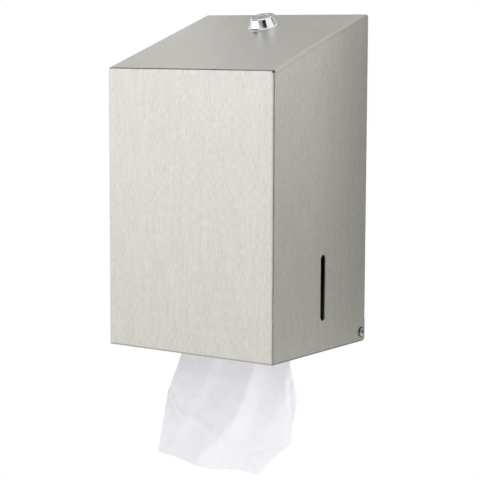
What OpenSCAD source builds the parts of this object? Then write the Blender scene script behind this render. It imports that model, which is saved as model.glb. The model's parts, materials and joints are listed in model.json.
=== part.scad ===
// Upright two-roll toilet roll dispenser of folded stainless sheet.
// X runs to the viewer's right, Y into the wall and Z up.
// The origin is the middle of the four wall screws, on the wall.
// Inside the modules, z = 0 is the bottom edge of the cover and y = 0 the wall.

/* [Cover] */
// Width over the two sides
cover_w = 150; // [146:1:190]
// Depth from the front face to the rear flanges
cover_d = 129; // [126:1:160]
// Height of the front face
front_h = 210; // [206:1:240]
// Height of the rear edge
rear_h = 252; // [248:1:290]
// Thickness of the cover's sheet
sheet_t = 0.9; // [0.7:0.1:1.2]
// Outer radius of the folds
bend_r = 1.8; // [1.4:0.1:2.4]
// Radius of the upper rear corners
top_corner_r = 4; // [3:0.5:7]
// Radius of the lower rear corners, which turn past the wall
foot_corner_r = 4.5; // [3.5:0.5:5]
// Width of the rear return flanges
flange_w = 8; // [6:0.5:9]
// Height of the roof's rear flange
rear_flange_h = 6.5; // [5:0.5:7]
// Height of the folded hem along the bottom
hem_h = 8; // [6:1:12]
// Distance of the hem's ends from the rear edge
hem_stop = 28; // [20:1:40]
// Gap between the cover and the wall
wall_gap = 2; // [1.7:0.1:3]
// Radius of the relief holes at the front upper corners
relief_r = 1.1; // [0.8:0.1:1.5]
// Radius of the fold along the roof's side edges
roof_edge_r = 2; // [1.9:0.1:2.6]
// Gap of the joint between roof and side
seam_gap = 0.35; // [0.2:0.05:0.6]
// Depth of the joint between roof and side
seam_depth = 0.4; // [0.2:0.05:0.6]
// Height of the lap inside the joint
lap_h = 5; // [3:0.5:8]

/* [Sight slot] */
// Length of the slot
slot_len = 49.5; // [36:0.5:60]
// Width of the slot
slot_w = 6.5; // [5:0.5:9]
// Height of the slot's middle above the bottom edge
slot_z = 48.2; // [44:0.1:56]
// Distance of the slot's middle behind the roll axes
slot_back = 2; // [-4:1:8]

/* [Hinge] */
// Distance of the hinge axis from the wall
hinge_y = 8.1; // [7.8:0.1:9]
// Height of the hinge axis above the bottom edge
hinge_z = 7.2; // [6.8:0.1:8]
// Radius of the hinge rivet's shank
rivet_r = 2.4; // [2:0.1:2.8]
// Radius of the hinge rivet's head
rivet_head_r = 3.9; // [3.5:0.1:4.4]
// Height of the hinge rivet's domed head
rivet_head_h = 1.5; // [1:0.1:2]
// Thickness of the nylon hinge washer
washer_t = 0.7; // [0.5:0.1:1]
// Angle at which the cover meets its stop
open_angle = 42; // [35:1:44]

/* [Back plate] */
// Thickness of the plate and its ears
plate_t = 1.2; // [1:0.1:1.5]
// Height of the plate's lower edge
plate_low = 1; // [0.5:0.5:3]
// Distance of the plate's upper edge below the cover's rear edge
plate_drop = 3; // [2:0.5:5]
// Length of the horns that stop the open cover
horn_len = 18; // [14:1:20]
// Depth of the plate's side flanges
plate_flange_d = 13; // [9:1:16]
// Distance between the wall screws across
screw_x = 80; // [64:2:84]
// Distance between the wall screws in height
screw_z = 210; // [204:2:214]
// Height of the middle of the wall screws
screw_mid = 120; // [119:1:121]
// Radius of the wall screw holes
screw_r = 2.75; // [2:0.05:3.25]

/* [Rolls] */
// Room from the end of a roll to the outside of the cover
side_room = 22.5; // [21:0.5:28]
// Radius of the roll in use
lower_r = 44; // [30:1:46]
// Radius of the reserve roll
reserve_r = 49; // [40:1:50]
// Outer radius of a core
core_r = 21; // [19:0.5:23]
// Wall of a core
core_t = 1; // [0.6:0.1:1.5]
// Distance of the roll axes in front of the middle of the depth
roll_forward = 0.5; // [-2:0.5:3]
// Height of the axis of the roll in use
lower_z = 50; // [49:1:53]
// Distance between the two roll axes
roll_pitch = 100; // [98:1:102]

/* [Spindles and guides] */
// Radius of a spindle's barrel
barrel_r = 15; // [12:0.5:17]
// Radius of a spindle's journals
journal_r = 4; // [3:0.25:5]
// Gap between a roll and each guide plate
guide_gap = 3.5; // [2.5:0.5:4]
// Thickness of the guide plates
guide_t = 1.5; // [1:0.1:1.8]
// Depth of the guide plates in front of the slot's middle
guide_front = 18; // [14:1:24]
// Height of the guide plates' upper edge
guide_top = 190; // [180:1:196]
// Height of the guide plates' lower edge in front of their flange
guide_low = 12; // [10:1:20]
// Width of the flange that carries a guide plate
guide_flange_w = 14.5; // [12:0.5:18]
// Radius of the rivets that hold the guides and the keeper
pop_r = 1.6; // [1.2:0.1:2]

/* [Drop latches] */
// Thickness of a latch lever
latch_t = 2; // [1.5:0.1:2.2]
// Distance of the latch pivot behind the roll axis
latch_back = 12; // [12:0.5:14]
// Distance of the latch pivot below the reserve journal
latch_below = 23; // [20:0.5:26]
// Radius of the latch boss
latch_boss_r = 7; // [6:0.25:7]
// Radius of the pivot's shoulder
shoulder_r = 3; // [2.5:0.25:3.5]
// Angle through which a latch swings
latch_swing = 40; // [34:1:42]
// Radius of the stop peg
peg_r = 1.5; // [1.2:0.1:1.8]

/* [Lock] */
// Distance of the lock's axis from the wall, along the floor
lock_y = 33.6; // [30:0.2:38]
// Radius of the lock's base
lock_base_r = 12.8; // [11.5:0.1:14]
// Radius of the lock's face
lock_face_r = 9; // [8.8:0.1:10]
// Height of the lock above the roof
lock_h = 7.8; // [6:0.2:10]
// Radius of the threaded shank
shank_r = 8; // [7.5:0.1:8.5]
// Length of the shank below the roof
shank_len = 12; // [11:0.5:14]
// Radius of the turning plug
plug_r = 5.5; // [4.5:0.1:6]
// Width of the nut across its flats
nut_af = 24; // [22:1:25]
// Thickness of the nut
nut_t = 4; // [3:0.5:5]
// Length of the cam from the lock's axis
cam_len = 24; // [22:0.5:25]
// Width of the cam
cam_w = 12; // [9:0.5:13]
// Thickness of the cam
cam_t = 2; // [1.5:0.1:2.4]
// Distance of the keeper's ear from the lock's axis
keeper_x = 15; // [14.8:0.2:17]
// Distance of the keeper's lower edge below the roof at the lock
keeper_drop = 37.7; // [36:0.1:39]
// Height of the keeper's flange
keeper_h = 28; // [26:1:30]
// Width of the keeper's flange
keeper_flange_w = 18; // [16:0.5:20]
// Reach of the keeper's ear from the wall
keeper_reach = 24; // [22:1:26]
// Length of the keeper's ear along the roof
keeper_ear_len = 38; // [36:1:39]
// Margin of the ear round the window for the cam
keeper_rim = 5; // [4:0.5:6]

/* [Hanging tissue] */
// Thickness of the hanging solid
tail_t = 0.8; // [0.6:0.1:1.2]
// Depth of its soft waves
tail_wave = 2.5; // [0:0.5:4]

/* [Hidden] */
$fn = 48;

eps = 0.1;          // overlap of a cut with the face that it passes
fit = 0.05;         // running clearance round a pin
soft_gap = 0.3;     // clearance between a roll and what it moves past
arc_steps = 6;      // straight stretches in a folded corner

front_y = -(wall_gap + cover_d);
rear_y = -wall_gap;
roof_top = max(front_h, rear_h) + 1;
half_w = cover_w / 2;
inner_half = half_w - sheet_t;
roof_angle = atan2(rear_h - front_h, cover_d);
function roof_z(y) = front_h + (y - front_y) * tan(roof_angle);

ear_out = inner_half - washer_t - 2 * fit;
plate_half = half_w - flange_w - 1.3;
plate_top = rear_h - plate_drop;
flange_foot = hinge_z + 10.8;

roll_w = cover_w - 2 * side_room;
roll_y = (wall_gap + cover_d) / 2 + roll_forward;
slot_y = roll_y - slot_back;
cheek_in = roll_w / 2 + guide_gap;
cheek_out = cheek_in + guide_t;
spindle_drop = core_r - core_t - barrel_r - soft_gap;
guide_slot_w = 2 * journal_r + 0.6;
reserve_z = lower_z + roll_pitch;
lower_axis_z = lower_z + spindle_drop;
reserve_axis_z = reserve_z + spindle_drop;
lever_in = cheek_out + 0.3;
lever_out = lever_in + latch_t;
pivot_y = -roll_y + latch_back;
pivot_z = reserve_axis_z - latch_below;
nose_angle = atan2(latch_below, -latch_back);
nose_r = norm([latch_back, latch_below]) - journal_r - 0.15;
peg_orbit = latch_boss_r + 3;
peg_angle = -50;
guide_rivet_z = [60, 115, 170];

lock_roof_y = -lock_y;
lock_z = roof_z(lock_roof_y);
washer_low = -sheet_t - 0.8;
cam_top = -shank_len - 0.3;
cam_low = cam_top - cam_t;
keeper_low = lock_z - keeper_drop;
keeper_rivet_z = [keeper_low + keeper_h / 4, keeper_low + keeper_h * 3 / 4];
keeper_window = keeper_ear_len - keeper_rim - 4;

function mix(a, b, t) = a + (b - a) * t;
// Points of a polygon with each corner rounded to its own radius.
function unit(v) = v / norm(v);
function arc_corner(before, p, after, r) =
    r <= 0 ? [p] :
    let (
        u = unit(before - p),
        v = unit(after - p),
        half = acos(u * v) / 2,
        centre = p + unit(u + v) * r / sin(half),
        first = p + u * r / tan(half) - centre,
        last = p + v * r / tan(half) - centre,
        start = atan2(first.y, first.x),
        sweep = atan2(first.x * last.y - first.y * last.x, first * last)
    )
    [for (i = [0 : arc_steps])
        let (a = start + sweep * i / arc_steps) centre + r * [cos(a), sin(a)]];
function rounded(points, radii) =
    let (n = len(points))
    [for (i = [0 : n - 1])
        each arc_corner(points[(i + n - 1) % n], points[i], points[(i + 1) % n], radii[i])];
function polar(r, a) = r * [cos(a), sin(a)];
// Outline of a slot of half width h that runs round an arc, with round ends.
function arc_slot(r, h, from, to) = concat(
    [for (i = [0 : 8]) polar(r + h, mix(from, to, i / 8))],
    [for (i = [1 : 7]) polar(r, to) + polar(h, to + i * 180 / 8)],
    [for (i = [0 : 8]) polar(r - h, mix(to, from, i / 8))],
    [for (i = [1 : 7]) polar(r, from) + polar(h, from + 180 + i * 180 / 8)]);

module place() translate([0, 0, -screw_mid]) children();
// A (y, z) outline drawn out along X.
module across(width) rotate([90, 0, 90]) linear_extrude(width, center = true) children();
// A (y, z) outline drawn out from x1 to x2.
module between(x1, x2) translate([(x1 + x2) / 2, 0, 0]) across(abs(x2 - x1)) children();
// An (x, z) outline drawn out from y towards the front.
module forward(y, depth) translate([0, y, 0]) rotate([90, 0, 0]) linear_extrude(depth) children();
// A round pin or bore along X from x1 to x2, at a (y, z) place.
module pin_x(x1, x2, y, z, r)
    translate([min(x1, x2), y, z]) rotate([0, 90, 0]) cylinder(h = abs(x2 - x1), r = r);
// The frame of the roof: x across, y up the slope and z out of the sheet.
module on_roof(y) translate([0, y, roof_z(y)]) rotate([roof_angle, 0, 0]) children();
module both_sides() {
    children();
    mirror([1, 0, 0]) children();
}
module disc_slot(r, flat) intersection() {
    circle(r);
    square([2 * r + 1, 2 * flat], center = true);
}

// Cover
function side_points(inset, low) =
    let (drop = inset / cos(roof_angle))
    [[front_y + inset, low], [rear_y - inset, low],
     [rear_y - inset, roof_z(rear_y - inset) - drop],
     [front_y + inset, roof_z(front_y + inset) - drop]];

module cover_block(inset, low) {
    r = max(bend_r - inset, 0.2);
    intersection() {
        across(cover_w - 2 * inset)
            polygon(rounded(side_points(inset, low),
                [0, low < 0 ? 0 : foot_corner_r, top_corner_r - inset, r]));
        translate([0, 0, low - eps]) linear_extrude(roof_top - low)
            polygon(rounded(
                [[-half_w + inset, front_y + inset], [half_w - inset, front_y + inset],
                 [half_w - inset, rear_y - inset], [-half_w + inset, rear_y - inset]],
                [r, r, r, r]));
        cover_crown(inset);
    }
}

// The section across the roof, with the roof's edges folded down over the sides.
module cover_crown(inset)
    on_roof(front_y) translate([0, 2 * cover_d, 0]) rotate([90, 0, 0])
        linear_extrude(3 * cover_d) polygon(rounded(
            [[-half_w + inset, -2 * rear_h], [half_w - inset, -2 * rear_h],
             [half_w - inset, -inset], [-half_w + inset, -inset]],
            [0, 0, roof_edge_r - inset, roof_edge_r - inset]));

// The open joint between the roof's folded edge and the side below it.
module roof_seam() both_sides() on_roof(front_y)
    translate([half_w - seam_depth, -5, -roof_edge_r - seam_gap])
        cube([1, 1.2 * cover_d, seam_gap]);

module cover_hem() intersection() {
    difference() {
        cover_block(sheet_t - 0.01, -1);
        cover_block(2 * sheet_t, -2);
    }
    translate([-half_w, front_y, 0]) cube([cover_w, cover_d - hem_stop, hem_h]);
}

module sight_slot() between(-cover_w, cover_w)
    translate([-slot_y, slot_z]) union() {
        square([slot_w, slot_len - slot_w], center = true);
        for (side = [-1, 1]) translate([0, side * (slot_len - slot_w) / 2]) circle(slot_w / 2);
    }

// The sides' upper edges run up inside the roof's folded edges and are welded there.
module roof_lap() intersection() {
    difference() {
        cover_block(sheet_t - 0.01, -1);
        cover_block(2 * sheet_t, -2);
    }
    both_sides() on_roof(front_y) translate([inner_half - 3, 0, -roof_edge_r - lap_h])
        cube([4, 1.2 * cover_d, lap_h + roof_edge_r]);
}

module cover() color([0.78, 0.78, 0.76]) place() difference() {
    union() {
        difference() {
            cover_block(0, 0);
            cover_block(sheet_t, -5);
        }
        cover_hem();
        roof_lap();
    }
    translate([-half_w + flange_w, rear_y - 4, -1])
        cube([cover_w - 2 * flange_w, 6, rear_h - rear_flange_h + 1]);
    translate([-inner_half, rear_y - 4, -1]) cube([2 * inner_half, 6, flange_foot + 1]);
    sight_slot();
    roof_seam();
    pin_x(-cover_w, cover_w, -hinge_y, hinge_z, rivet_r + fit);
    on_roof(lock_roof_y) translate([0, 0, -5]) linear_extrude(10)
        disc_slot(shank_r + 0.2, shank_r - 0.6);
    both_sides() translate([half_w - bend_r / 2, front_y + bend_r / 2, front_h - bend_r / 2])
        rotate([0, 80, -45]) cylinder(h = 6, r = relief_r, center = true);
}

// Back plate
module ear_outline() {
    translate([-hinge_y, hinge_z]) circle(hinge_z - plate_low);
    translate([-hinge_y, plate_low]) square([hinge_y, 2 * (hinge_z - plate_low)]);
    // The horn meets the cover's flange when the cover is open.
    translate([-hinge_y, hinge_z]) rotate(open_angle)
        translate([-4, 0]) square([hinge_y - wall_gap - sheet_t + 4 - soft_gap, horn_len]);
}

module back_plate() color([0.62, 0.62, 0.61]) place() difference() {
    union() {
        forward(0, plate_t) polygon(rounded(
            [[-ear_out, plate_low], [ear_out, plate_low],
             [ear_out, flange_foot - 2], [plate_half, flange_foot],
             [plate_half, plate_top], [-plate_half, plate_top],
             [-plate_half, flange_foot], [-ear_out, flange_foot - 2]],
            [3, 3, 0, 0, 4, 4, 0, 0]));
        both_sides() between(ear_out - plate_t, ear_out) ear_outline();
        both_sides() between(plate_half - plate_t, plate_half) polygon(rounded(
            [[0, flange_foot + 4], [0, plate_top - 14], [-plate_flange_d, plate_top - 24],
             [-plate_flange_d, flange_foot + 16]], [0, 0, 5, 5]));
    }
    for (x = [-1, 1], z = [-1, 1])
        translate([x * screw_x / 2, eps, screw_mid + z * screw_z / 2])
            rotate([90, 0, 0]) cylinder(h = 3 * plate_t, r = screw_r);
    pin_x(-cover_w, cover_w, -hinge_y, hinge_z, rivet_r);
    for (side = [-1, 1], z = guide_rivet_z) rivet_hole(side * guide_rivet_x, z);
    for (z = keeper_rivet_z) rivet_hole(keeper_rivet_x, z);
}

// Hinge
module hinge_rivet(side) color([0.8, 0.8, 0.8]) place()
    translate([0, -hinge_y, hinge_z]) rotate([0, side * 90, 0]) rotate_extrude() union() {
        translate([0, ear_out - plate_t - 1]) square([rivet_r, half_w - ear_out + plate_t + 1.5]);
        translate([0, ear_out - plate_t - 1]) square([rivet_head_r - 0.4, 1]);
        translate([0, half_w + fit]) intersection() {
            square([rivet_head_r, rivet_head_h]);
            translate([0, rivet_head_h - dome_r]) circle(dome_r);
        }
    }
dome_r = (pow(rivet_head_r, 2) + pow(rivet_head_h - 0.3, 2)) / (2 * (rivet_head_h - 0.3));

module hinge_rivet_left() hinge_rivet(-1);
module hinge_rivet_right() hinge_rivet(1);

module hinge_washer(side) color([0.93, 0.93, 0.9]) place() difference() {
    pin_x(side * (ear_out + fit), side * (ear_out + fit + washer_t), -hinge_y, hinge_z, 5.5);
    pin_x(-cover_w, cover_w, -hinge_y, hinge_z, rivet_r + fit);
}
module hinge_washer_left() hinge_washer(-1);
module hinge_washer_right() hinge_washer(1);

// Lock, in the frame of the roof
module lock_frame() place() on_roof(lock_roof_y) children();

module lock_body() color([0.85, 0.86, 0.88]) lock_frame() difference() {
    union() {
        rotate_extrude() polygon([
            [0, 0], [lock_base_r, 0], [lock_base_r, 0.5], [lock_base_r - 0.4, 0.9],
            [lock_base_r - 1.2, 1.1], [lock_face_r + 0.5, lock_h - 0.7],
            [lock_face_r, lock_h - 0.15], [lock_face_r - 0.5, lock_h], [0, lock_h]]);
        translate([0, 0, -shank_len]) linear_extrude(shank_len + 1)
            disc_slot(shank_r, shank_r - 0.8);
    }
    translate([0, 0, -shank_len - 1]) cylinder(h = shank_len + lock_h + 2, r = plug_r + fit);
}

module lock_plug() color([0.75, 0.76, 0.78]) lock_frame() difference() {
    translate([0, 0, cam_top]) cylinder(h = lock_h - 0.3 - cam_top, r = plug_r);
    rotate(-21) translate([-0.5, -3.9, lock_h - 5]) cube([1, 7.8, 6]);
    translate([0, 0, cam_top - 1]) cylinder(h = 7, r = 2 + fit);
}

module lock_washer() color([0.7, 0.7, 0.7]) lock_frame()
    translate([0, 0, washer_low]) linear_extrude(-sheet_t - washer_low - 0.01) difference() {
        circle(nut_af / 2);
        disc_slot(shank_r + 0.1, shank_r - 0.7);
    }

module lock_nut() color([0.72, 0.68, 0.55]) lock_frame()
    translate([0, 0, washer_low - nut_t]) difference() {
        cylinder(h = nut_t, r = nut_af / 2 / cos(30), $fn = 6);
        translate([0, 0, -eps]) cylinder(h = nut_t + 2 * eps, r = shank_r + fit);
    }

module lock_cam() color([0.6, 0.6, 0.58]) lock_frame()
    translate([0, 0, cam_low]) linear_extrude(cam_t) difference() {
        union() {
            circle(cam_w / 2 + 1.5);
            translate([-cam_w / 2, 0]) square([cam_w, cam_len - cam_w / 2]);
            translate([0, cam_len - cam_w / 2]) circle(cam_w / 2);
        }
        circle(2 + fit);
    }

module cam_screw() color([0.55, 0.55, 0.55]) lock_frame() {
    translate([0, 0, cam_low - 2.4]) difference() {
        cylinder(h = 2.4, r = 3.8);
        for (a = [0, 90]) rotate(a) translate([-2.5, -0.5, -1]) cube([5, 1, 2.2]);
    }
    translate([0, 0, cam_low - eps]) cylinder(h = cam_t + 5, r = 2);
}

// Keeper
keeper_rivet_x = keeper_x + plate_t + keeper_flange_w * 0.6;
// The ear follows the roof, and a web below it reaches the wall.
module keeper_outline() {
    keeper_tilt() translate([-cam_w / 2 - 1 - keeper_rim, cam_low - keeper_rim])
        square([keeper_ear_len, 2 * keeper_rim]);
    translate([-keeper_reach, keeper_low + 2]) square([keeper_reach - plate_t, keeper_h - 6]);
}
module keeper_tilt() translate([lock_roof_y, lock_z]) rotate(roof_angle) children();

module lock_keeper() color([0.66, 0.66, 0.65]) place() difference() {
    union() {
        between(keeper_x, keeper_x + plate_t) difference() {
            keeper_outline();
            keeper_tilt() translate([-cam_w / 2 - 1, cam_low - 1])
                square([keeper_window, cam_t + 2]);
        }
        forward(-plate_t, plate_t) translate([keeper_x, keeper_low])
            square([keeper_flange_w + plate_t, keeper_h]);
    }
    for (z = keeper_rivet_z) rivet_hole(keeper_rivet_x, z);
}

// Rivets through the back plate, flush with the wall
module rivet_hole(x, z)
    translate([x, eps, z]) rotate([90, 0, 0]) cylinder(h = 12, r = pop_r + fit);
module pop_rivet(x, z, grip) translate([x, -eps, z]) rotate([90, 0, 0]) {
    cylinder(h = grip - eps + 0.5, r = pop_r);
    translate([0, 0, grip - eps]) difference() {
        cylinder(h = 1, r1 = 2 * pop_r, r2 = 1.6 * pop_r);
        translate([0, 0, 0.6]) cylinder(h = 1, r = 0.7 * pop_r);
    }
}
module keeper_rivets() color([0.7, 0.7, 0.7]) place()
    for (z = keeper_rivet_z) pop_rivet(keeper_rivet_x, z, 2 * plate_t);

// Guide plates
guide_rivet_x = cheek_out - guide_flange_w / 2;
module guide_cheek() difference() {
    polygon(rounded(
        [[-plate_t, lower_axis_z - 15], [-plate_t, guide_top],
         [-roll_y - guide_front, guide_top], [-roll_y - guide_front, guide_low],
         [-16, guide_low]],
        [0, 6, 5, 14, 10]));
    // Slot for the journals, flared at its upper end
    translate([-roll_y, lower_axis_z]) circle(guide_slot_w / 2);
    translate([-roll_y, 0]) polygon([
        [-guide_slot_w / 2, lower_axis_z], [guide_slot_w / 2, lower_axis_z],
        [guide_slot_w / 2, guide_top - 7], [guide_slot_w / 2 + 4, guide_top + eps],
        [-guide_slot_w / 2 - 4, guide_top + eps], [-guide_slot_w / 2, guide_top - 7]]);
    translate([pivot_y, pivot_z]) circle(2);
    // Arc that limits the latch
    translate([pivot_y, pivot_z])
        polygon(arc_slot(peg_orbit, peg_r + soft_gap, peg_angle - latch_swing, peg_angle));
    // Lightening window behind the slot
    polygon(rounded(
        [[-14, 72], [-roll_y + guide_slot_w / 2 + 12, 72],
         [-roll_y + guide_slot_w / 2 + 12, pivot_z - 26], [-14, pivot_z - 26]],
        [5, 5, 5, 5]));
}

module guide_plate() place() difference() {
    union() {
        between(cheek_in, cheek_out) guide_cheek();
        forward(-plate_t, guide_t) translate([cheek_out - guide_flange_w, lower_axis_z - 15])
            square([guide_flange_w, guide_top - lower_axis_z + 15]);
    }
    for (z = guide_rivet_z) rivet_hole(guide_rivet_x, z);
}
module guide_plate_left() color([0.68, 0.68, 0.67]) mirror([1, 0, 0]) guide_plate();
module guide_plate_right() color([0.68, 0.68, 0.67]) guide_plate();
module guide_rivets() color([0.7, 0.7, 0.7]) place()
    for (side = [-1, 1], z = guide_rivet_z)
        pop_rivet(side * guide_rivet_x, z, plate_t + guide_t);

// Drop latches
module latch_outline() difference() {
    union() {
        circle(latch_boss_r);
        intersection() {
            circle(nose_r);
            polygon([polar(latch_boss_r, nose_angle + 80), polar(2 * nose_r, nose_angle + 7),
                polar(2 * nose_r, nose_angle - 15), polar(latch_boss_r, nose_angle - 80)]);
        }
        rotate(peg_angle) translate([0, -2.5]) square([peg_orbit + 4, 5]);
        rotate(peg_angle) translate([peg_orbit + 4, 0]) circle(2.5);
    }
    circle(shoulder_r + fit);
}
module drop_latch() place() {
    between(lever_in, lever_out) translate([pivot_y, pivot_z]) latch_outline();
    pin_x(cheek_in + 0.3, lever_in + eps,
        pivot_y + peg_orbit * cos(peg_angle), pivot_z + peg_orbit * sin(peg_angle), peg_r);
}
module drop_latch_left() color([0.25, 0.26, 0.28]) mirror([1, 0, 0]) drop_latch();
module drop_latch_right() color([0.25, 0.26, 0.28]) drop_latch();

module latch_pivot() place() {
    pin_x(cheek_in - 1, cheek_in, pivot_y, pivot_z, 3.2);
    pin_x(cheek_in - eps, cheek_out + eps, pivot_y, pivot_z, 2 - fit);
    pin_x(cheek_out, lever_out + 0.3, pivot_y, pivot_z, shoulder_r);
    pin_x(lever_out + 0.3, lever_out + 1.3, pivot_y, pivot_z, shoulder_r + 1.5);
}
module latch_pivot_left() color([0.75, 0.75, 0.75]) mirror([1, 0, 0]) latch_pivot();
module latch_pivot_right() color([0.75, 0.75, 0.75]) latch_pivot();

// Spindles, with a barrel waisted in the middle and a journal at each end
barrel_half = cheek_in - 1;
spindle_end = lever_out + 2.4;
module spindle(z) color([0.86, 0.86, 0.84]) place()
    translate([0, -roll_y, z]) rotate([0, 90, 0]) rotate_extrude() {
        half = [
            [barrel_r - 1.5, 8], [barrel_r, 9.5],
            [barrel_r, barrel_half - 1.5], [barrel_r - 1.5, barrel_half],
            [journal_r, barrel_half], [journal_r, spindle_end - 0.8],
            [journal_r - 0.8, spindle_end], [0, spindle_end]];
        last = len(half) - 1;
        polygon(concat(half, [for (i = [last : -1 : 0]) [half[i].x, -half[i].y]]));
    }
module spindle_lower() spindle(lower_axis_z);
module spindle_reserve() spindle(reserve_axis_z);

// Rolls
module core(z) color([0.72, 0.62, 0.48]) place()
    translate([0, -roll_y, z]) rotate([0, 90, 0]) difference() {
        cylinder(h = roll_w + 0.6, r = core_r, center = true);
        cylinder(h = roll_w + 2, r = core_r - core_t, center = true);
    }
module core_lower() core(lower_z);
module core_reserve() core(reserve_z);

// The ends of a roll step in and out a little where its turns have shifted.
module tissue_roll(z, r) color([0.95, 0.95, 0.96]) place()
    translate([0, -roll_y, z]) rotate([0, 90, 0]) rotate_extrude() {
        turns = 7;
        inner = core_r + 0.1;
        pitch = (r - inner) / turns;
        half = roll_w / 2;
        outline = [for (i = [0 : turns - 1]) each
            [[inner + i * pitch, half - 0.3 * (i % 2)],
             [inner + (i + 1) * pitch, half - 0.3 * (i % 2)]]];
        polygon(concat(outline, [for (i = [len(outline) - 1 : -1 : 0])
            [outline[i].x, -outline[i].y]]));
    }
module tissue_roll_lower() tissue_roll(lower_z, lower_r);
module tissue_roll_reserve() tissue_roll(reserve_z, reserve_r);

// The hanging tissue, one soft sheet from the roll's underside out of the mouth.
tail_cols = 12;
tail_wrap = [30, 68];   // where it leaves the front of the roll, and where it lets go
tail_rows_wrap = 4;
tail_rows_bend = 6;
tail_rows_hang = 8;
tail_hang_y = -70;
tail_hang_z = -30;
tail_corner = [-59, -93, -95];   // lower left corner, which curls forward
tail_tip = [17, -72, -101];      // lowest point
tail_right = [48, -64, -74];     // lower right corner
tail_tip_at = 0.72;

function smooth(t) = t * t * (3 - 2 * t);
function bezier(a, b, c, d, t) =
    pow(1 - t, 3) * a + 3 * pow(1 - t, 2) * t * b + 3 * (1 - t) * t * t * c + pow(t, 3) * d;
function on_lower_roll(a) =
    [-roll_y, lower_z] - (lower_r + soft_gap + tail_t) * [cos(a), sin(a)];
tail_leave = on_lower_roll(tail_wrap[1]);
function tail_bend(t) = bezier(
    tail_leave, tail_leave + 10 * [sin(tail_wrap[1]), -cos(tail_wrap[1])],
    [tail_hang_y, tail_hang_z + 20], [tail_hang_y, tail_hang_z], t);
function tail_foot(u) = u < tail_tip_at
    ? mix(tail_corner, tail_tip, u / tail_tip_at)
    : mix(tail_tip, tail_right, (u - tail_tip_at) / (1 - tail_tip_at));
function tail_side(u) = mix(-roll_w / 2 - 1, roll_w / 2 - 3, u);
function tail_hang(u, t) =
    let (
        top = [tail_side(u), tail_hang_y, tail_hang_z],
        low = tail_foot(u),
        wave = tail_wave * sin(360 * 1.6 * u + 60) * t
    )
    [mix(top.x, low.x, smooth(t)), mix(top.y, low.y, t * t) + wave, mix(top.z, low.z, t)];
function tail_row_point(row, u) =
    row < tail_rows_wrap
        ? let (p = on_lower_roll(mix(tail_wrap[0], tail_wrap[1], row / tail_rows_wrap)))
            [tail_side(u), p.x, p.y]
        : row < tail_rows_wrap + tail_rows_bend
            ? let (p = tail_bend((row - tail_rows_wrap) / tail_rows_bend))
                [tail_side(u), p.x, p.y]
            : tail_hang(u, (row - tail_rows_wrap - tail_rows_bend) / tail_rows_hang);
tail_rows = tail_rows_wrap + tail_rows_bend + tail_rows_hang;
function tail_normal(row, u) =
    let (
        a = tail_row_point(max(row - 1, 0), u),
        b = tail_row_point(min(row + 1, tail_rows), u),
        c = tail_row_point(row, max(u - 0.05, 0)),
        d = tail_row_point(row, min(u + 0.05, 1))
    )
    unit(cross(d - c, b - a));
function tail_skin(offset) =
    [for (row = [0 : tail_rows], col = [0 : tail_cols])
        tail_row_point(row, col / tail_cols)
            + offset * tail_normal(row, col / tail_cols)];

module tissue_tail() color([0.93, 0.94, 0.97]) place() {
    across_n = tail_cols + 1;
    skin = across_n * (tail_rows + 1);
    polyhedron(
        points = concat(tail_skin(tail_t / 2), tail_skin(-tail_t / 2)),
        faces = concat(
            [for (r = [0 : tail_rows - 1], c = [0 : tail_cols - 1])
                let (i = r * across_n + c) each
                    [[i, i + 1, i + across_n + 1], [i, i + across_n + 1, i + across_n]]],
            [for (r = [0 : tail_rows - 1], c = [0 : tail_cols - 1])
                let (i = skin + r * across_n + c) each
                    [[i, i + across_n + 1, i + 1], [i, i + across_n, i + across_n + 1]]],
            [for (c = [0 : tail_cols - 1]) each
                [[c, skin + c, c + 1], [c + 1, skin + c, skin + c + 1]]],
            [for (c = [0 : tail_cols - 1]) let (i = tail_rows * across_n + c) each
                [[i, i + 1, skin + i], [i + 1, skin + i + 1, skin + i]]],
            [for (r = [0 : tail_rows - 1]) let (i = r * across_n) each
                [[i, i + across_n, skin + i], [i + across_n, skin + i + across_n, skin + i]]],
            [for (r = [0 : tail_rows - 1]) let (i = r * across_n + tail_cols) each
                [[i, skin + i, i + across_n], [i + across_n, skin + i, skin + i + across_n]]]),
        convexity = 4);
}

cover();
back_plate();
hinge_rivet_left();
hinge_rivet_right();
hinge_washer_left();
hinge_washer_right();
lock_body();
lock_plug();
lock_nut();
lock_washer();
lock_cam();
cam_screw();
lock_keeper();
keeper_rivets();
guide_plate_left();
guide_plate_right();
guide_rivets();
drop_latch_left();
drop_latch_right();
latch_pivot_left();
latch_pivot_right();
spindle_lower();
spindle_reserve();
core_lower();
core_reserve();
tissue_roll_lower();
tissue_roll_reserve();
tissue_tail();
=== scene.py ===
"""Upright toilet roll dispenser of brushed stainless steel, with tissue hanging from its mouth."""
import json
from math import cos, exp, radians, sin

import bmesh
import bpy
from mathutils import Matrix, Vector, noise


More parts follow.
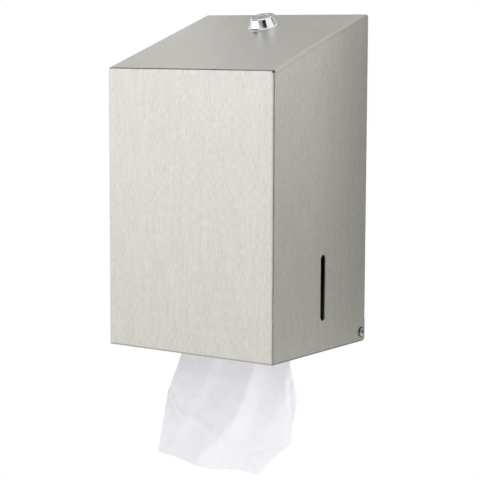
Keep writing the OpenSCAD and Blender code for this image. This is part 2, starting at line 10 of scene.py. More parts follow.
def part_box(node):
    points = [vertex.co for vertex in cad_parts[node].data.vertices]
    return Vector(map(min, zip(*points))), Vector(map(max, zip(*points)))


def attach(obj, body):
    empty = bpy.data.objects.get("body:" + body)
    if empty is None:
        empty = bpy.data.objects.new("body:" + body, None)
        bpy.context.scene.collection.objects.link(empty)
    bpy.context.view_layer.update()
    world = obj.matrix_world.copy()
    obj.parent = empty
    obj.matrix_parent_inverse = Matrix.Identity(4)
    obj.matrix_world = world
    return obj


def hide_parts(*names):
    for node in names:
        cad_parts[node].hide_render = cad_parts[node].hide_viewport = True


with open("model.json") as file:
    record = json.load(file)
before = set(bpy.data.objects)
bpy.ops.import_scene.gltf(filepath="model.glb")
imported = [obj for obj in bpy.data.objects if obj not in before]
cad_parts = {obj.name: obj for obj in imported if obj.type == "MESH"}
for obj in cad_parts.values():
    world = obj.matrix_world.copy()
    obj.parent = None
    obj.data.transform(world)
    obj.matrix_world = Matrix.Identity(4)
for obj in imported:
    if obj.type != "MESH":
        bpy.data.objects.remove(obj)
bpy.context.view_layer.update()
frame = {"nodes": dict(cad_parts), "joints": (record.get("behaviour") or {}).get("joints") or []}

MM = 0.001
NODES = frame["nodes"]
JOINTS = {joint["name"]: joint for joint in frame["joints"]}

# Camera, placed in metres, with its lens and sensor in millimetres
CAMERA_AT = Vector((0.73155, -1.10679, 0.11144))
CAMERA_AIM = Vector((0.00099, -0.0660, -0.0411))
CAMERA_ROLL = radians(0.2164)
CAMERA_LENS = 125.515
CAMERA_SENSOR = 36

# Studio light, in metres and watts
WORLD_LIGHT = 0.76
WORLD_TINT = (0.97, 0.985, 1.0, 1)
LIGHT_AIM = Vector((0, -0.06, 0.0))
CARD_WARMTH = 0.945     # blue in what the cards give, as a share of their red and green
# Softboxes: name, place, width and height, power, seen in gloss
SOFTBOXES = [
    ("softbox_left", (-1.04, -0.715, 0.325), (0.8, 0.8), 0.33, True),
    ("softbox_left_front", (-0.74, -1.04, 0.13), (0.8, 0.8), 0.39, True),
    ("softbox_front", (-0.455, -1.17, 0.455), (0.8, 0.8), 0.55, True),
    ("fill_low", (0.30, -1.25, -0.75), (1.2, 1.2), 3.8, False),
    ("fill_right", (1.235, 0.26, 0.26), (1.6, 1.6), 13.0, False),
]
# Cards that only reflections see: name, place, height of their aim, width and height, grey
CARDS = [
    ("card_floor", (0.0, -0.06, -0.58), 0.0, (6.0, 6.0), 0.925),
    ("card_side", (0.362, 1.352, -0.10), -0.10, (1.23, 2.6), 0.365),
    ("card_side_strip", (1.024, 0.955, 0.55), 0.55, (0.355, 1.3), 1.6),
    ("card_side_strip_low", (1.024, 0.955, -0.75), -0.75, (0.355, 1.3), 0.775),
    ("card_side_near", (0.21, 0.22, -0.01), -0.01, (0.12, 0.32), 0.305),
    ("card_right_rear", (1.247, 0.636, -0.10), -0.10, (0.455, 2.6), 0.0),
    ("card_right", (1.35, -0.30, 0.0), 0.0, (1.5, 1.8), 0.24),
    ("card_right_high", (0.45, 0.84, 1.02), 0.0, (0.9, 0.6), 0.35),
    ("card_roof_left", (-1.26, 0.49, 0.50), 0.0, (0.95, 1.15), 0.74),
    ("card_roof_right", (-0.53, 1.24, 0.54), 0.0, (0.95, 1.25), 0.42),
    ("card_top", (-0.76, -0.44, 1.07), 0.0, (1.05, 1.05), 0.0),
    ("card_rear", (-0.75, 1.05, -0.05), -0.05, (1.3, 0.8), 0.0),
    ("card_above", (-0.18, -0.12, 0.70), 0.0, (0.33, 0.33), 0.0),
    ("card_lock_shade", (0.46, -0.80, 0.62), 0.12, (1.2, 0.45), 0.15),
    ("flag_lock_left", (0.013, -0.150, 0.145), 0.145, (0.074, 0.028), 0.25),
    ("flag_lock_middle", (0.072, -0.126, 0.147), 0.147, (0.058, 0.028), 0.0),
    ("flag_lock_front", (0.158, -0.060, 0.155), 0.155, (0.175, 0.08), 1.05),
    ("flag_lock_right", (0.118, 0.128, 0.175), 0.175, (0.28, 0.09), 0.55),
]

# Brushing of the steel: frequencies along X, Y and Z, as shares of a steel's grain
FINE_GRAIN = (1, 1, 0.21)
BROAD_GRAIN = (0.3, 0.3, 0.04)
FINE_ROOF_GRAIN = (1, 0.05, 0.05)
BROAD_ROOF_GRAIN = (0.1, 0.012, 0.012)
BROAD_SHARE = 0.25      # how much of the broad grain is in the streaks
ROOF_CALM = 0.45        # how much plainer the roof's grain is than that of the upright faces
ROUGH_SPREAD = 0.05     # how far the streaks move the roughness each way
STREAK_STOPS = (0.36, 0.64)     # noise at which the streaks are darkest and lightest
ROOF_STOPS = [(0.6, 0.0), (0.7, 1.0)]   # the normal's Z, from upright faces to the roof

# Soft mottling of the other materials: frequency per metre, and the noise at its two colours
METAL_CLOUD = 220
PLASTIC_CLOUD = 60
PAPER_CLOUD = 45
CLOUD_STOPS = (0.3, 0.7)

# Painted shade in the base colour, which also leaves painted highlights: stops of (share of the
# way, share of the base colour)
# Painted shade: a dark line along the cover's cut edges at the foot and the rear
EDGE_SHADE_WAY = 2            # millimetres inwards from a cut edge of the cover
EDGE_PAINTED_SHADE_STOPS = [(0.45, 0.62), (0.6, 1.0)]
# Painted shade in the recess of the lock's key slot
KEYHOLE_SHADE_WAY = 2         # millimetres down from the face of the lock's plug
KEYHOLE_PAINTED_SHADE_STOPS = [(0.2, 1.0), (0.45, 0.03)]
RIVET_HEAD = 1.5        # millimetres of a hinge rivet's outer end that are its head
# Painted shade in the middle of a rivet's head and at its rim, leaving a light ring as a painted
# highlight
RIVET_PAINTED_LIGHT_STOPS = [(0.40, 0.45), (0.52, 1.0), (0.74, 1.0), (0.84, 0.16)]    # out from its middle

# Heights of the fine relief in the materials, in metres
BRUSH_RELIEF = 0.00003
METAL_RELIEF = 0.00002
PLASTIC_RELIEF = 0.00005
BOARD_RELIEF = 0.0001
CREPE_RELIEF = 0.00012

# Board of the cores: its flecks, their colours, and the angle and frequency of its spiral joint
BOARD_FLECKS = (500, 1500, 1500)
BOARD_DARK = (0.36, 0.29, 0.21)
BOARD_LIGHT = (0.50, 0.42, 0.32)
SPIRAL_ANGLE = radians(35)
SPIRAL_BANDS = 8

# Tissue: frequency of its creping and of the turns on a roll, and the colours of both
CREPE = (420, 900, 900)
PAPER_DARK = (0.89, 0.88, 0.92)
PAPER_LIGHT = (0.94, 0.93, 0.965)
TURNS = 2600
TURNS_STOPS = (0.3, 0.65)
TURNS_DARK = (0.74, 0.75, 0.79)
TURNS_LIGHT = (0.92, 0.93, 0.96)

# The roll that the sheet comes off, in millimetres
ROLL_AXIS = Vector(JOINTS["roll_lower_spin"]["pos_m"]) / MM
ROLL_RADIUS = (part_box("tissue_roll_lower")[1].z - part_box("tissue_roll_lower")[0].z) / 2 / MM

# The hanging tissue, in millimetres in the object's frame
SHEET_THICK = 0.14
SHEET_COLS = 150            # faces across the sheet
SHEET_ROWS = 200            # faces down it
WRAP_FROM = radians(32)     # angles down the front of the roll
WRAP_TO = radians(68)
WRAP_GAP = 0.4              # clearance between the roll and the sheet
WRAP_SHARE = 0.16           # share of the sheet's length that lies on the roll
BEND_SHARE = 0.26           # share that runs from the roll to the mouth
ROLL_PULL = 12              # length of the bend's handle along the roll's tangent
MOUTH_PULL = 14             # length of its handle straight above the mouth
CREASE_FROM = 0.6           # share of the bend at which the creases begin
CREASE_OVER = 0.12          # share of the sheet's length over which they reach full height
TOP_LEFT = Vector((-50.5, -70.5, -131.0))
TOP_RIGHT = Vector((51.0, -69.0, -127.0))

# Points on the free part's edges; the shares of each edge's length count its corners too
LEFT_EDGE = [(-55.6, -74.0, -149.8), (-58.8, -77.0, -163.5), (-57.8, -82.0, -178.3),
             (-57.9, -88.0, -195.3), (-57.0, -93.0, -209.4)]
LEFT_AT = [0, 0.24, 0.41, 0.60, 0.82, 1]
RIGHT_EDGE = [(52.9, -67.0, -144.2), (54.6, -66.0, -157.0), (52.9, -65.0, -168.0),
              (49.4, -64.0, -180.6), (46.5, -63.0, -194.7)]
RIGHT_AT = [0, 0.25, 0.44, 0.60, 0.79, 1]
BOTTOM_EDGE = [(-43.1, -90.0, -212.1), (-26.1, -86.0, -215.3), (-6.0, -80.0, -218.4),
               (5.7, -76.0, -217.6), (22.4, -71.0, -219.8), (32.8, -67.0, -207.9)]
BOTTOM_AT = [0, 0.15, 0.31, 0.50, 0.61, 0.76, 0.87, 1]

# Creases from the left side to the right, each as rows of (z, x, how far it stands forward)
CREASES = [
    [(-131, -51, 0.0), (-161, -60, 0.0), (-170, -64, 3.0), (-181, -64, 4.0), (-205, -64, 4.0)],
    [(-131, -48, 0.3), (-161, -58, 0.3), (-177, -51, 0.0), (-183, -54.5, 0.0),
     (-205, -55, 0.2)],
    [(-131, -13.5, 6.0), (-150, -21.5, 6.2), (-163, -26.5, 5.2), (-181, -37, 3.4),
     (-210, -46, 1.2)],
    [(-131, -6.5, 2.6), (-150, -13.5, 2.8), (-163, -19.5, 3.0), (-181, -32, 2.4),
     (-210, -42, 0.4)],
    [(-139, 23.5, 9.0), (-162, 15, 10.5), (-173, 11, 10.3), (-191, -1, 9.0), (-211, -22, 6.8)],
    [(-131, 29.5, 0.2), (-160, 24.5, 0.6), (-184, 18, 1.5), (-211, 9, 0.8)],
    [(-131, 49, 4.5), (-153, 48, 5.0), (-164, 43, 5.0), (-178, 34.5, 4.0), (-190, 29, 2.5),
     (-211, 24, 1.0)],
    [(-131, 54, 1.0), (-160, 56, 0.0), (-180, 53, 0.0), (-215, 44, 0.0)],
]
RIDGE_SHIFTS = (-2.5, -1.5, -0.5, 0.5, 1.5, 2.5)    # averaging over these rounds the ridges

# Small folds: start and end as (x, z), width and height towards the viewer
FOLDS = [
    ((-58.8, -163.4), (-47.6, -175.9), 2.0, 0.9),
    ((-47.6, -176.0), (-40.0, -181.0), 1.3, 1.3),
    ((-33.0, -180.0), (-5.0, -192.0), 3.5, 1.0),
    ((50.0, -145.0), (49.8, -172.0), 1.3, -1.4),
    ((46.3, -194.1), (18.1, -203.4), 1.8, -1.2),
    ((18.1, -203.4), (22.4, -216.3), 1.6, 0.6),
]

# Crinkles: frequency per millimetre, share of it along Z, layer of the noise, height
CRINKLES = [(0.16, 0.6, 3.0, 0.9), (0.45, 1, 7.0, 0.25), (0.8, 1, 5.0, 0.08)]


def make_camera():
    data = bpy.data.cameras.new("camera")
    data.lens = CAMERA_LENS
    data.sensor_width = CAMERA_SENSOR
    data.clip_start = 0.05
    data.clip_end = 50
    cam = bpy.data.objects.new("camera", data)
    cam.location = CAMERA_AT
    look = (CAMERA_AIM - CAMERA_AT).to_track_quat("-Z", "Y").to_matrix()
    cam.rotation_euler = (look @ Matrix.Rotation(CAMERA_ROLL, 3, "Z")).to_euler()
    bpy.context.scene.collection.objects.link(cam)
    bpy.context.scene.camera = cam


def tree_and_shader(mat):
    return mat.node_tree, mat.node_tree.nodes["Principled BSDF"]


def new_material(name):
    mat = bpy.data.materials.new(name)
    mat.use_nodes = True
    return mat, *tree_and_shader(mat)


def add(tree, kind, **settings):
    node = tree.nodes.new(kind)
    for key, value in settings.items():
        setattr(node, key, value)
    return node


def link_or_set(tree, socket, value):
    """Feeds a socket from another socket, or sets it to a constant."""
    if isinstance(value, bpy.types.NodeSocket):
        tree.links.new(value, socket)
    else:
        socket.default_value = value


def calculate(tree, operation, *values, **settings):
    """Result of a math node; each value is a number or a socket."""
    node = add(tree, "ShaderNodeMath", operation=operation, **settings)
    for socket, value in zip(node.inputs, values):
        link_or_set(tree, socket, value)
    return node.outputs[0]


def blend_values(tree, factor, low, high):
    """low where factor is 0 and high where it is 1; each is a number or a socket."""
    node = add(tree, "ShaderNodeMix", data_type="FLOAT")
    link_or_set(tree, node.inputs[0], factor)
    link_or_set(tree, node.inputs[2], low)
    link_or_set(tree, node.inputs[3], high)
    return node.outputs[0]


def blend_colours(tree, factor, first, second, blend_type="MIX"):
    """Two colour sockets blended; factor is a number or a socket."""
    node = add(tree, "ShaderNodeMix", data_type="RGBA", blend_type=blend_type)
    link_or_set(tree, node.inputs[0], factor)
    tree.links.new(first, node.inputs[6])
    tree.links.new(second, node.inputs[7])
    return node.outputs[2]


def ramp(tree, factor, stops):
    """Colour ramp; stops are (position, grey or colour)."""
    node = add(tree, "ShaderNodeValToRGB")
    elements = node.color_ramp.elements
    while len(elements) < len(stops):
        elements.new(0.5)
    for element, (position, value) in zip(elements, stops):
        element.position = position
        colour = (value, value, value) if isinstance(value, float) else value
        element.color = (*colour, 1)
    tree.links.new(factor, node.inputs["Fac"])
    return node.outputs["Color"]


def along_axis(tree, source, axis):
    """One axis of the coordinates or of the normal."""
    coord = add(tree, "ShaderNodeTexCoord")
    split = add(tree, "ShaderNodeSeparateXYZ")
    tree.links.new(coord.outputs[source], split.inputs[0])
    return split.outputs[axis]


def distance_from_axis(tree, axis_y, axis_z):
    """Distance from a line along X at the given Y and Z, in metres."""
    coord = add(tree, "ShaderNodeTexCoord")
    centre = add(tree, "ShaderNodeVectorMath", operation="SUBTRACT")
    centre.inputs[1].default_value = (0, axis_y, axis_z)
    flat = add(tree, "ShaderNodeVectorMath", operation="MULTIPLY")
    flat.inputs[1].default_value = (0, 1, 1)
    length = add(tree, "ShaderNodeVectorMath", operation="LENGTH")
    tree.links.new(coord.outputs["Object"], centre.inputs[0])
    tree.links.new(centre.outputs["Vector"], flat.inputs[0])
    tree.links.new(flat.outputs["Vector"], length.inputs[0])
    return length.outputs["Value"]


def stretched_noise(tree, scale, detail=3):
    """Noise on the piece's own coordinates, in cycles per metre along X, Y and Z."""
    coord = add(tree, "ShaderNodeTexCoord")
    mapping = add(tree, "ShaderNodeMapping")
    mapping.inputs["Scale"].default_value = scale
    texture = add(tree, "ShaderNodeTexNoise")
    texture.inputs["Scale"].default_value = 1
    texture.inputs["Detail"].default_value = detail
    tree.links.new(coord.outputs["Object"], mapping.inputs["Vector"])
    tree.links.new(mapping.outputs["Vector"], texture.inputs["Vector"])
    return texture.outputs["Fac"]


def even_noise(tree, frequency, detail=3):
    return stretched_noise(tree, (frequency, frequency, frequency), detail)


def two_colours(tree, factor, stops, low, high):
    """Ramp from one colour to another between two stops."""
    return ramp(tree, factor, [(stops[0], low), (stops[1], high)])


def bump(tree, shader, height, distance, strength=0.5):
    node = add(tree, "ShaderNodeBump")
    node.inputs["Distance"].default_value = distance
    node.inputs["Strength"].default_value = strength
    tree.links.new(height, node.inputs["Height"])
    tree.links.new(node.outputs["Normal"], shader.inputs["Normal"])


def darken(tree, shader, share):
    """Paints shade into the base colour: multiplies it by a share from 0 to 1."""
    plain = shader.inputs["Base Color"].links[0].from_socket
    shaded = blend_colours(tree, 1, plain, share, "MULTIPLY")
    tree.links.new(shaded, shader.inputs["Base Color"])


def tint_range(tint, spread):
    """A darker and a lighter form of a colour."""
    low = tuple(c * (1 - spread) for c in tint)
    high = tuple(min(c * (1 + spread), 1.0) for c in tint)
    return low, high


def grain_noise(tree, grain, shares, detail=3):
    return stretched_noise(tree, [grain * share for share in shares], detail)


def brushed_steel(name, tint, contrast, rough, grain, roof_grain=False):
    """Steel brushed along Z; with roof_grain, along Y on faces that look upwards."""
    mat, tree, shader = new_material(name)
    fine = grain_noise(tree, grain, FINE_GRAIN)
    broad = grain_noise(tree, grain, BROAD_GRAIN, detail=2)
    if roof_grain:
        upward = ramp(tree, along_axis(tree, "Normal", "Z"), ROOF_STOPS)
        fine_up = grain_noise(tree, grain, FINE_ROOF_GRAIN)
        broad_up = grain_noise(tree, grain, BROAD_ROOF_GRAIN, detail=2)
        fine = blend_values(tree, upward, fine, blend_values(tree, ROOF_CALM, fine_up, 0.5))
        broad = blend_values(tree, upward, broad, blend_values(tree, ROOF_CALM, broad_up, 0.5))
    streak = blend_values(tree, BROAD_SHARE, fine, broad)
    low, high = tint_range(tint, contrast)
    colour = two_colours(tree, streak, STREAK_STOPS, low, high)
    tree.links.new(colour, shader.inputs["Base Color"])
    level = blend_values(tree, streak, rough - ROUGH_SPREAD, rough + ROUGH_SPREAD)
    tree.links.new(level, shader.inputs["Roughness"])
    shader.inputs["Metallic"].default_value = 1.0
    bump(tree, shader, fine, BRUSH_RELIEF, strength=0.6)
    return mat


def painted_edge_shade(tree, axis, edge, inward):
    """Painted shade: dark on the last millimetre before an edge of the sheet, 1 elsewhere."""
    depth = calculate(tree, "SUBTRACT", along_axis(tree, "Object", axis), edge)
    share = calculate(tree, "DIVIDE", depth, inward * EDGE_SHADE_WAY * MM)
    return ramp(tree, share, EDGE_PAINTED_SHADE_STOPS)


def cover_metal():
    """Brushed steel with a line of painted shade along the sheet's cut edges at the foot and the
    rear.
    """
    mat = brushed_steel("cover_steel", (0.628, 0.615, 0.586), contrast=0.09, rough=0.36,
                        grain=1000, roof_grain=True)
    tree, shader = tree_and_shader(mat)
    low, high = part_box("cover")
    # painted shade along the foot and the rear edge
    darken(tree, shader, painted_edge_shade(tree, "Z", low.z, 1))
    darken(tree, shader, painted_edge_shade(tree, "Y", high.y, -1))
    return mat


def smooth_metal(name, tint, rough, mottle=0.03):
    mat, tree, shader = new_material(name)
    cloud = even_noise(tree, METAL_CLOUD, detail=4)
    low, high = tint_range(tint, mottle)
    colour = two_colours(tree, cloud, CLOUD_STOPS, low, high)
    tree.links.new(colour, shader.inputs["Base Color"])
    level = blend_values(tree, cloud, rough * 0.8, rough * 1.2)
    tree.links.new(level, shader.inputs["Roughness"])
    shader.inputs["Metallic"].default_value = 1.0
    bump(tree, shader, cloud, METAL_RELIEF, strength=0.4)
    return mat


def plug_metal_with_painted_shade(name, tint, rough):
    """Smooth metal with painted shade inside the key slot, below the plug's face."""
    mat = smooth_metal(name, tint, rough)
    tree, shader = tree_and_shader(mat)
    axis = JOINTS["lock_turn"]["axis"]
    face = max(Vector(axis).dot(v.co) for v in NODES["lock_plug"].data.vertices)
    coord = add(tree, "ShaderNodeTexCoord")
    height = add(tree, "ShaderNodeVectorMath", operation="DOT_PRODUCT")
    height.inputs[1].default_value = axis
    tree.links.new(coord.outputs["Object"], height.inputs[0])
    depth = calculate(tree, "SUBTRACT", face, height.outputs["Value"])
    share = calculate(tree, "DIVIDE", depth, KEYHOLE_SHADE_WAY * MM)
    # painted shade in the key slot
    darken(tree, shader, ramp(tree, share, KEYHOLE_PAINTED_SHADE_STOPS))
    return mat


def rivet_metal_with_painted_light(name, tint, rough):
    """Smooth metal of the hinge rivets with painted shade: a grey middle and a dark rim around a
    light ring of the plain colour, which stands for a painted highlight.
    """
    mat = smooth_metal(name, tint, rough)
    tree, shader = tree_and_shader(mat)
    pin = Vector(JOINTS["cover_hinge"]["pos_m"])
    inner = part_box("hinge_rivet_right")[1].x - RIVET_HEAD * MM
    head = [v.co - pin for v in NODES["hinge_rivet_right"].data.vertices if v.co.x > inner]
    radius = max(Vector((point.y, point.z)).length for point in head)
    share = calculate(tree, "DIVIDE", distance_from_axis(tree, pin.y, pin.z), radius)
    # painted shade and a painted highlight ring on the rivet heads
    darken(tree, shader, ramp(tree, share, RIVET_PAINTED_LIGHT_STOPS))
    return mat


def moulded_plastic(name, tint, rough, grain=1400, gloss=0.5):
    mat, tree, shader = new_material(name)
    pores = even_noise(tree, grain, detail=2)
    cloud = even_noise(tree, PLASTIC_CLOUD)
    low = tuple(c * 0.93 for c in tint)
    colour = two_colours(tree, cloud, CLOUD_STOPS, low, tint)
    tree.links.new(colour, shader.inputs["Base Color"])
    level = blend_values(tree, cloud, rough - 0.05, rough + 0.08)
    tree.links.new(level, shader.inputs["Roughness"])
    shader.inputs["Specular IOR Level"].default_value = gloss
    bump(tree, shader, pores, PLASTIC_RELIEF)
    return mat


def core_board(name):
    """Grey-brown board with flecks and the spiral joint of its strips."""
    mat, tree, shader = new_material(name)
    flecks = stretched_noise(tree, BOARD_FLECKS, detail=4)
    coord = add(tree, "ShaderNodeTexCoord")
    mapping = add(tree, "ShaderNodeMapping")
    mapping.inputs["Rotation"].default_value = (0, 0, SPIRAL_ANGLE)
    wave = add(tree, "ShaderNodeTexWave", wave_type="BANDS", bands_direction="X")
    wave.inputs["Scale"].default_value = SPIRAL_BANDS
    wave.inputs["Distortion"].default_value = 0.3
    tree.links.new(coord.outputs["Object"], mapping.inputs["Vector"])
    tree.links.new(mapping.outputs["Vector"], wave.inputs["Vector"])
    joint = ramp(tree, wave.outputs["Fac"], [(0.0, 0.0), (0.04, 1.0)])
    shade = two_colours(tree, flecks, CLOUD_STOPS, BOARD_DARK, BOARD_LIGHT)
    colour = blend_colours(tree, 0.5, shade, joint, "MULTIPLY")
    tree.links.new(colour, shader.inputs["Base Color"])
    shader.inputs["Roughness"].default_value = 0.9
    bump(tree, shader, flecks, BOARD_RELIEF, strength=0.4)
    return mat


def tissue_paper(name, axis_z=None):
    """Soft creped tissue; with an axis height, its ends show the turns of a roll."""
    mat, tree, shader = new_material(name)
    height = stretched_noise(tree, CREPE, detail=4)
    cloud = even_noise(tree, PAPER_CLOUD)
    colour = two_colours(tree, cloud, CLOUD_STOPS, PAPER_DARK, PAPER_LIGHT)
    if axis_z is not None:
        turns = add(tree, "ShaderNodeTexNoise", noise_dimensions="1D")
        turns.inputs["Scale"].default_value = TURNS
        turns.inputs["Detail"].default_value = 3
        radius = distance_from_axis(tree, ROLL_AXIS.y * MM, axis_z)
        tree.links.new(radius, turns.inputs["W"])
        on_end = calculate(tree, "ABSOLUTE", along_axis(tree, "Normal", "X"))
        height = blend_values(tree, on_end, height, turns.outputs["Fac"])
        rings = two_colours(tree, turns.outputs["Fac"], TURNS_STOPS, TURNS_DARK, TURNS_LIGHT)
        colour = blend_colours(tree, on_end, colour, rings)
    tree.links.new(colour, shader.inputs["Base Color"])
    shader.inputs["Roughness"].default_value = 0.95
    shader.inputs["Specular IOR Level"].default_value = 0.2
    shader.inputs["Subsurface Weight"].default_value = 0.25
    shader.inputs["Subsurface Radius"].default_value = (0.004, 0.004, 0.0045)
    shader.inputs["Subsurface Scale"].default_value = 0.5
    bump(tree, shader, height, CREPE_RELIEF)
    return mat


def dress_nodes():
    cover_steel = cover_metal()
    plate_steel = brushed_steel("plate_steel", (0.60, 0.60, 0.59), contrast=0.06, rough=0.42,
                                grain=700)
    plate_black = moulded_plastic("plate_black", (0.011, 0.011, 0.010), 0.55, grain=900, gloss=0.22)
    rivet_steel = smooth_metal("rivet_steel", (0.60, 0.60, 0.58), 0.34)
    hinge_steel = rivet_metal_with_painted_light("hinge_steel", (0.60, 0.60, 0.58), 0.42)
    zinc = smooth_metal("zinc", (0.62, 0.60, 0.54), 0.32, mottle=0.08)
    chrome = smooth_metal("chrome", (0.84, 0.85, 0.87), 0.13, mottle=0.01)
    nickel = plug_metal_with_painted_shade("nickel", (0.80, 0.81, 0.82), 0.24)
    nylon = moulded_plastic("nylon", (0.84, 0.84, 0.80), 0.45)
    latch_black = moulded_plastic("latch_black", (0.03, 0.03, 0.033), 0.42)
    spindle_white = moulded_plastic("spindle_white", (0.76, 0.76, 0.74), 0.36)
    board = core_board("core_board")
    by_material = {
        cover_steel: ["cover"],
        plate_steel: ["back_plate", "lock_keeper"],
        plate_black: ["guide_plate_left", "guide_plate_right"],
        rivet_steel: ["keeper_rivets", "guide_rivets", "latch_pivot_left", "latch_pivot_right"],
        hinge_steel: ["hinge_rivet_left", "hinge_rivet_right"],
        zinc: ["lock_nut", "lock_washer", "lock_cam", "cam_screw"],
        chrome: ["lock_body"],
        nickel: ["lock_plug"],
        nylon: ["hinge_washer_left", "hinge_washer_right"],
        latch_black: ["drop_latch_left", "drop_latch_right"],
        spindle_white: ["spindle_lower", "spindle_reserve"],
        board: ["core_lower", "core_reserve"],
    }
    for name, joint in (("tissue_roll_lower", "roll_lower_spin"),
                        ("tissue_roll_reserve", "roll_reserve_spin")):
        by_material[tissue_paper(name, JOINTS[joint]["pos_m"][2])] = [name]
    for mat, names in by_material.items():
        for name in names:
            NODES[name].data.materials.clear()
            NODES[name].data.materials.append(mat)


def smooth_path(points, at, t):
    """Place at the share t of a Catmull-Rom path that meets its points at the given shares."""
    first = min(max(k for k in range(len(at)) if at[k] <= t), len(at) - 2)
    share = (t - at[first]) / (at[first + 1] - at[first])
    start, end = points[first], points[first + 1]
    before = points[first - 1] if first else start * 2 - end
    after = points[first + 2] if first + 2 < len(points) else end * 2 - start
    return 0.5 * (2 * start + (end - before) * share
                  + (2 * before - 5 * start + 4 * end - after) * share ** 2
                  + (3 * start - before - 3 * end + after) * share ** 3)


def left_edge(t):
    return smooth_path([TOP_LEFT] + [Vector(p) for p in LEFT_EDGE], LEFT_AT, t)


def right_edge(t):
    return smooth_path([TOP_RIGHT] + [Vector(p) for p in RIGHT_EDGE], RIGHT_AT, t)


def bottom_edge(u):
    points = [LEFT_EDGE[-1]] + BOTTOM_EDGE + [RIGHT_EDGE[-1]]
    return smooth_path([Vector(p) for p in points], BOTTOM_AT, u)


def hanging(u, t):
    """Patch between the four edges of the part of the sheet that hangs free."""
    top = TOP_LEFT.lerp(TOP_RIGHT, u)
    across = left_edge(t).lerp(right_edge(t), u)
    down = top.lerp(bottom_edge(u), t)
    corners = top.lerp(Vector(LEFT_EDGE[-1]).lerp(Vector(RIGHT_EDGE[-1]), u), t)
    return across + down - corners


def clamp(share):
    return min(max(share, 0.0), 1.0)


def near_segment(x, z, start, end):
    """Distance of the point (x, z) from a line between two points."""
    start, end, point = Vector(start), Vector(end), Vector((x, z))
    share = clamp((point - start).dot(end - start) / (end - start).length_squared)
    return (point - start.lerp(end, share)).length


def crease_at(rows, z):
    """Where a crease crosses the height z: x, and how far it stands forward."""
    for (z0, x0, h0), (z1, x1, h1) in zip(rows, rows[1:]):
        if z >= z1:
            break
    share = clamp((z - z0) / (z1 - z0))
    return x0 + (x1 - x0) * share, h0 + (h1 - h0) * share


def forward_at(points, x):
    """How far the flat panels between the creases stand forward at x."""
    for (x0, h0), (x1, h1) in zip(points, points[1:]):
        if x <= x1:
            break
    return h0 + (h1 - h0) * clamp((x - x0) / (x1 - x0))


def fold_height(x, z):
    """Creased panels with their ridges rounded off, and the small folds on them."""
    points = [crease_at(rows, z) for rows in CREASES]
    panels = sum(forward_at(points, x + shift) for shift in RIDGE_SHIFTS) / len(RIDGE_SHIFTS)
    return panels + sum(height * exp(-(near_segment(x, z, start, end) / width) ** 2)
                        for start, end, width, height in FOLDS)


def crinkle_height(x, z):
    """Fine unevenness of the paper."""
    return sum(noise.noise(Vector((x, z * stretch, layer)) * scale) * height
               for scale, stretch, layer, height in CRINKLES)


def on_roll(angle):
    reach = ROLL_RADIUS + WRAP_GAP + SHEET_THICK
    return Vector((0, ROLL_AXIS.y - reach * cos(angle), ROLL_AXIS.z - reach * sin(angle)))


def bend(end, t):
    """Curve from the last line of the wrap to a point at the mouth."""
    start = on_roll(WRAP_TO)
    leave = start + Vector((0, sin(WRAP_TO), -cos(WRAP_TO))) * ROLL_PULL
    arrive = end + Vector((0, 0, MOUTH_PULL))
    left = 1 - t
    return start * left ** 3 + leave * 3 * left ** 2 * t + arrive * 3 * left * t ** 2 + end * t ** 3


def sheet_point(u, v):
    """Place of the sheet at u across it and v down it."""
    side = Vector((TOP_LEFT.x + (TOP_RIGHT.x - TOP_LEFT.x) * u, 0, 0))
    if v <= WRAP_SHARE:
        return side + on_roll(WRAP_FROM + (WRAP_TO - WRAP_FROM) * v / WRAP_SHARE)
    if v <= BEND_SHARE + WRAP_SHARE:
        end = TOP_LEFT.lerp(TOP_RIGHT, u)
        end.x = 0
        return side + bend(end, (v - WRAP_SHARE) / BEND_SHARE)
    return hanging(u, (v - WRAP_SHARE - BEND_SHARE) / (1 - WRAP_SHARE - BEND_SHARE))


def creased_point(u, v):
    """Place of the sheet with its creases, which grow below the roll."""
    point = sheet_point(u, v)
    free = clamp((v - WRAP_SHARE - CREASE_FROM * BEND_SHARE) / CREASE_OVER)
    point.y -= (fold_height(point.x, point.z) + crinkle_height(point.x, point.z)) * free
    return point


def make_tissue_sheet():
    mesh = bpy.data.meshes.new("tissue_sheet")
    bm = bmesh.new()
    bmesh.ops.create_grid(bm, x_segments=SHEET_COLS, y_segments=SHEET_ROWS, size=0.5,
                          calc_uvs=False)
    uv = bm.loops.layers.uv.new("sheet")
    for face in bm.faces:
        for loop in face.loops:
            loop[uv].uv = (loop.vert.co.x + 0.5, 0.5 - loop.vert.co.y)
    for vert in bm.verts:
        vert.co = creased_point(vert.co.x + 0.5, 0.5 - vert.co.y) * MM
    bmesh.ops.smooth_vert(bm, verts=bm.verts, factor=0.5, use_axis_x=True, use_axis_y=True,
                          use_axis_z=True)
    bmesh.ops.recalc_face_normals(bm, faces=bm.faces)
    for face in bm.faces:
        face.smooth = True
    bm.to_mesh(mesh)
    bm.free()
    sheet = bpy.data.objects.new("tissue_sheet", mesh)
    bpy.context.scene.collection.objects.link(sheet)
    solid = sheet.modifiers.new("thickness", "SOLIDIFY")
    solid.thickness = SHEET_THICK * MM
    solid.offset = 0
    mesh.materials.append(tissue_paper("hanging_tissue"))
    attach(sheet, "base")
    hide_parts("tissue_tail")


def seen_as_background(tree):
    """1 for camera, glossy and transmission rays, which see the white background."""
    path = add(tree, "ShaderNodeLightPath")
    pair = calculate(tree, "ADD", path.outputs["Is Camera Ray"], path.outputs["Is Glossy Ray"])
    return calculate(tree, "ADD", pair, path.outputs["Is Transmission Ray"], use_clamp=True)


def flat_mesh(name, width, height):
    mesh = bpy.data.meshes.new(name)
    bm = bmesh.new()
    bmesh.ops.create_grid(bm, x_segments=1, y_segments=1, size=0.5)
    bmesh.ops.scale(bm, vec=(width, height, 1), verts=bm.verts)
    bm.to_mesh(mesh)
    bm.free()
    piece = bpy.data.objects.new(name, mesh)
    bpy.context.scene.collection.objects.link(piece)
    return piece


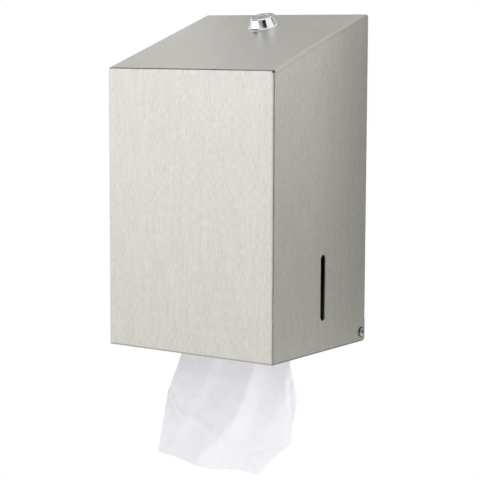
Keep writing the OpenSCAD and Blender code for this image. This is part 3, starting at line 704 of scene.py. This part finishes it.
def aim(piece, at, axis, height=0.0):
    """Puts a card or lamp at a place with its axis towards the object."""
    piece.location = at
    target = LIGHT_AIM + Vector((0, 0, height))
    piece.rotation_euler = (target - Vector(at)).to_track_quat(axis, "Y").to_euler()


def make_card(name, at, height, size, grey):
    card = flat_mesh(name, *size)
    aim(card, at, "Z", height)
    card.visible_camera = False
    card.visible_diffuse = False
    card.visible_shadow = False
    mat, tree, shader = new_material(name)
    shader.inputs["Base Color"].default_value = (0, 0, 0, 1)
    shader.inputs["Roughness"].default_value = 1
    shader.inputs["Specular IOR Level"].default_value = 0
    shader.inputs["Emission Color"].default_value = (grey, grey, grey * CARD_WARMTH, 1)
    shader.inputs["Emission Strength"].default_value = 1
    card.data.materials.append(mat)


def make_softbox(name, at, size, power, in_gloss):
    data = bpy.data.lights.new(name, "AREA")
    data.shape = "RECTANGLE"
    data.size, data.size_y = size
    data.energy = power
    light = bpy.data.objects.new(name, data)
    aim(light, at, "-Z")
    light.visible_camera = False
    light.visible_glossy = in_gloss
    bpy.context.scene.collection.objects.link(light)


def make_world():
    """White to the camera and in reflections, soft grey as light."""
    world = bpy.data.worlds.new("studio")
    bpy.context.scene.world = world
    world.use_nodes = True
    tree = world.node_tree
    soft = tree.nodes["Background"]
    soft.inputs["Color"].default_value = WORLD_TINT
    soft.inputs["Strength"].default_value = WORLD_LIGHT
    white = add(tree, "ShaderNodeBackground")
    white.inputs["Color"].default_value = (1, 1, 1, 1)
    white.inputs["Strength"].default_value = 1
    mix = add(tree, "ShaderNodeMixShader")
    tree.links.new(seen_as_background(tree), mix.inputs[0])
    tree.links.new(soft.outputs[0], mix.inputs[1])
    tree.links.new(white.outputs[0], mix.inputs[2])
    tree.links.new(mix.outputs[0], tree.nodes["World Output"].inputs["Surface"])


def make_studio():
    make_world()
    for card in CARDS:
        make_card(*card)
    for box in SOFTBOXES:
        make_softbox(*box)
    bpy.context.scene.view_settings.view_transform = "Standard"


make_camera()
make_tissue_sheet()
dress_nodes()
make_studio()
